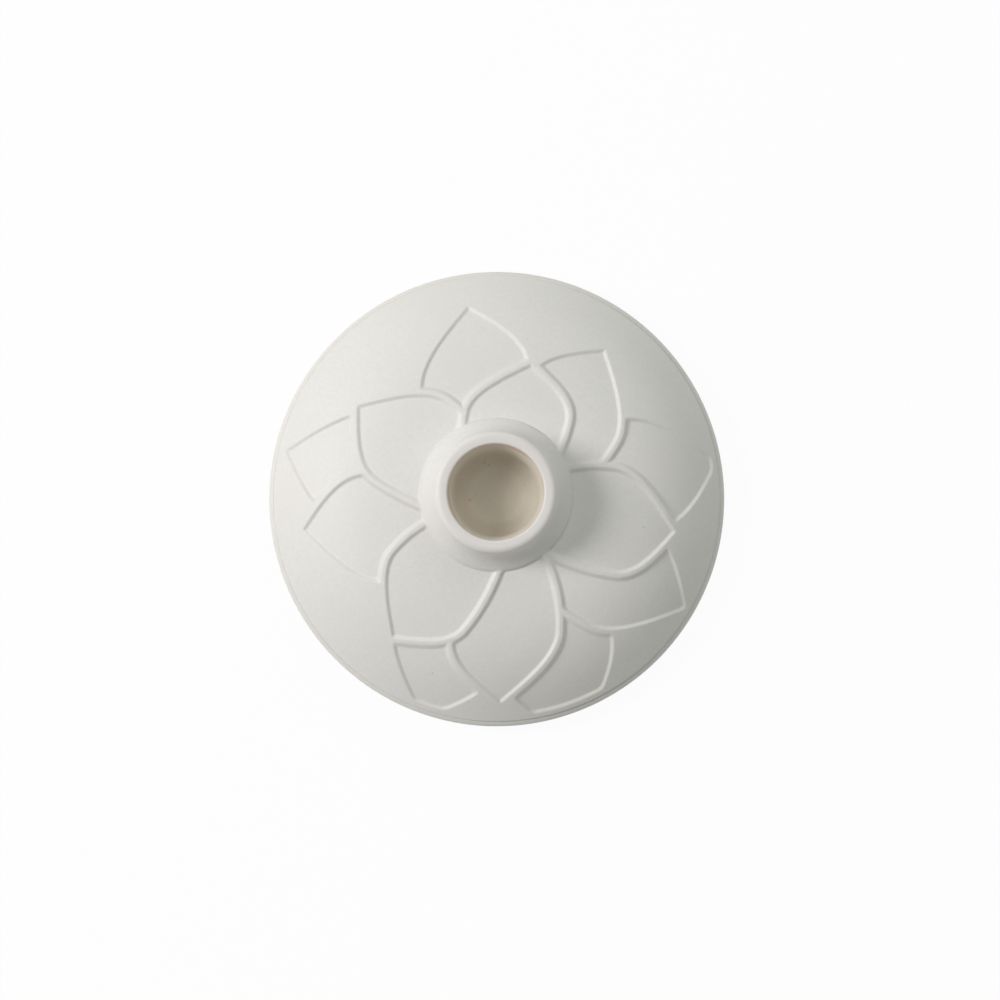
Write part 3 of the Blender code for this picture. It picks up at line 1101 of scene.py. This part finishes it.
class CANDLESTICK_OT_base_dish(bpy.types.Operator):
    """Make the base dish with its ledge, foot and vent"""

    bl_idname = "candlestick.base_dish"
    bl_label = "Make Base Dish"

    def execute(self, context):
        scene = context.scene
        piece = make_base_dish(scene.candlestick_shape)
        dress(piece, "base_dish", finish_base("bisque_base", scene.candlestick_finish))
        return {"FINISHED"}


class CANDLESTICK_OT_felt_pads(bpy.types.Operator):
    """Make the felt pads under the dish"""

    bl_idname = "candlestick.felt_pads"
    bl_label = "Make Felt Pads"

    def execute(self, context):
        scene = context.scene
        felt = finish_felt("grey_felt", scene.candlestick_finish)
        for node in PAD_NODES:
            pad = make_felt_pad(scene.candlestick_shape, node)
            dress(pad, node, felt)
        return {"FINISHED"}


class CANDLESTICK_OT_stage(bpy.types.Operator):
    """Set the floor, the light and the camera"""

    bl_idname = "candlestick.stage"
    bl_label = "Set Stage"

    def execute(self, context):
        scene = context.scene
        scene.view_settings.view_transform = "Standard"
        set_world(scene.candlestick_studio)
        set_floor(scene.candlestick_finish, scene.candlestick_studio)
        set_lamps(scene.candlestick_studio)
        set_camera(scene.candlestick_studio)
        return {"FINISHED"}


OPERATORS = (CANDLESTICK_OT_stage, CANDLESTICK_OT_dome, CANDLESTICK_OT_candle_cup, CANDLESTICK_OT_base_dish,
             CANDLESTICK_OT_felt_pads)
SETTINGS = {
    "candlestick_shape": CandlestickShape,
    "candlestick_relief": LeafRelief,
    "candlestick_finish": CandlestickFinish,
    "candlestick_studio": CandlestickStudio,
}


class CANDLESTICK_PT_pieces(bpy.types.Panel):
    """Pieces and settings of the candlestick"""

    bl_idname = "CANDLESTICK_PT_pieces"
    bl_label = "Candlestick"
    bl_space_type = "VIEW_3D"
    bl_region_type = "UI"
    bl_category = "Candlestick"

    def draw(self, context):
        for operator in OPERATORS:
            self.layout.operator(operator.bl_idname)
        for name, group in SETTINGS.items():
            box = self.layout.box()
            for setting in group.__annotations__:
                box.prop(getattr(context.scene, name), setting)


CLASSES = (*SETTINGS.values(), *OPERATORS, CANDLESTICK_PT_pieces)


def register():
    for cls in CLASSES:
        bpy.utils.register_class(cls)
    for name, group in SETTINGS.items():
        setattr(bpy.types.Scene, name, PointerProperty(type=group))


def unregister():
    for name in SETTINGS:
        delattr(bpy.types.Scene, name)
    for cls in reversed(CLASSES):
        bpy.utils.unregister_class(cls)


def main():
    register()
    bpy.ops.candlestick.stage()
    bpy.ops.candlestick.dome()
    bpy.ops.candlestick.candle_cup()
    bpy.ops.candlestick.base_dish()
    bpy.ops.candlestick.felt_pads()


if __name__ == "__main__":
    main()
